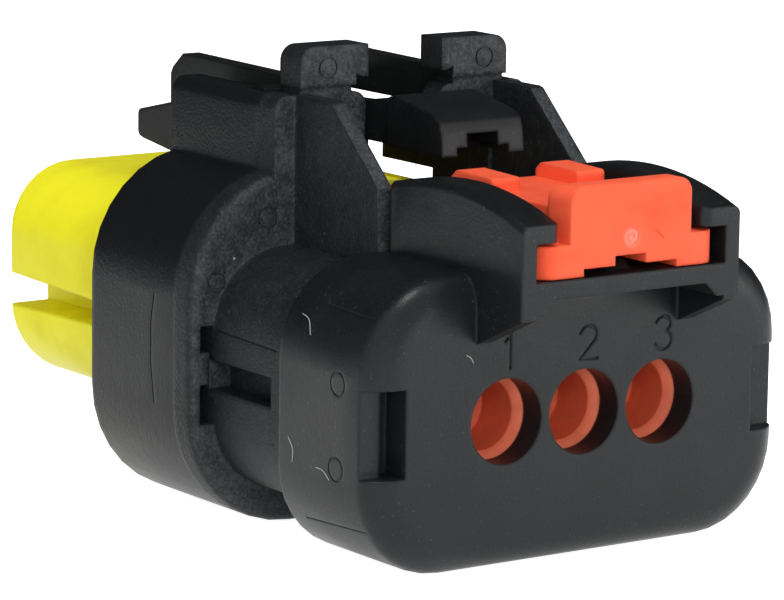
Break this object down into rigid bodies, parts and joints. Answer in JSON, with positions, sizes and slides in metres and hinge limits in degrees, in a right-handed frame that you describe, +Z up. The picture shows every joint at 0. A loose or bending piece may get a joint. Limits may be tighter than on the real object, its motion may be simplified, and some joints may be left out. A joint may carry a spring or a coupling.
{
  "type": "sealed automotive connector plug",
  "caption": "Sealed in-line wire connector plug with rear cover, thumb latch lever, sliding position lock and front wedge lock.",
  "frame": {"origin": "centre of the middle wire hole on the rear face of the rear cover", "axes": "+Y along the mating direction, from the wire side to the wedge lock; +X to the right seen from the wire side; +Z up, from the contact row towards the latch"},
  "size_m": [0.0242, 0.0405, 0.0234],
  "materials": {
    "black_plastic": "fine-grained moulded",
    "seal_rubber": "satin silicone",
    "yellow_plastic": "satin moulded",
    "red_plastic": "satin moulded"
  },
  "bodies": {
    "housing_body": {"housing": "black_plastic", "rear_cover": "black_plastic", "wire_seal": "seal_rubber", "interface_seal": "seal_rubber"},
    "lever_body": {"latch_lever": "black_plastic"},
    "wedge_body": {"wedge_lock": "yellow_plastic"},
    "position_body": {"position_lock": "red_plastic"}
  },
  "joints": [
    {"name": "lever_press", "type": "hinge", "parent": "housing_body", "child": "lever_body", "pos_m": [0, 0.01785, 0.01303], "axis": [-1, 0, 0], "range_deg": [-6, 0], "stiffness_Nm_per_rad": 0.6},
    {"name": "wedge_slide", "type": "slide", "parent": "housing_body", "child": "wedge_body", "axis": [0, -1, 0], "range_m": [0, 0.002]},
    {"name": "position_slide", "type": "slide", "parent": "housing_body", "child": "position_body", "axis": [0, 1, 0], "range_m": [0, 0.0019]}
  ]
}
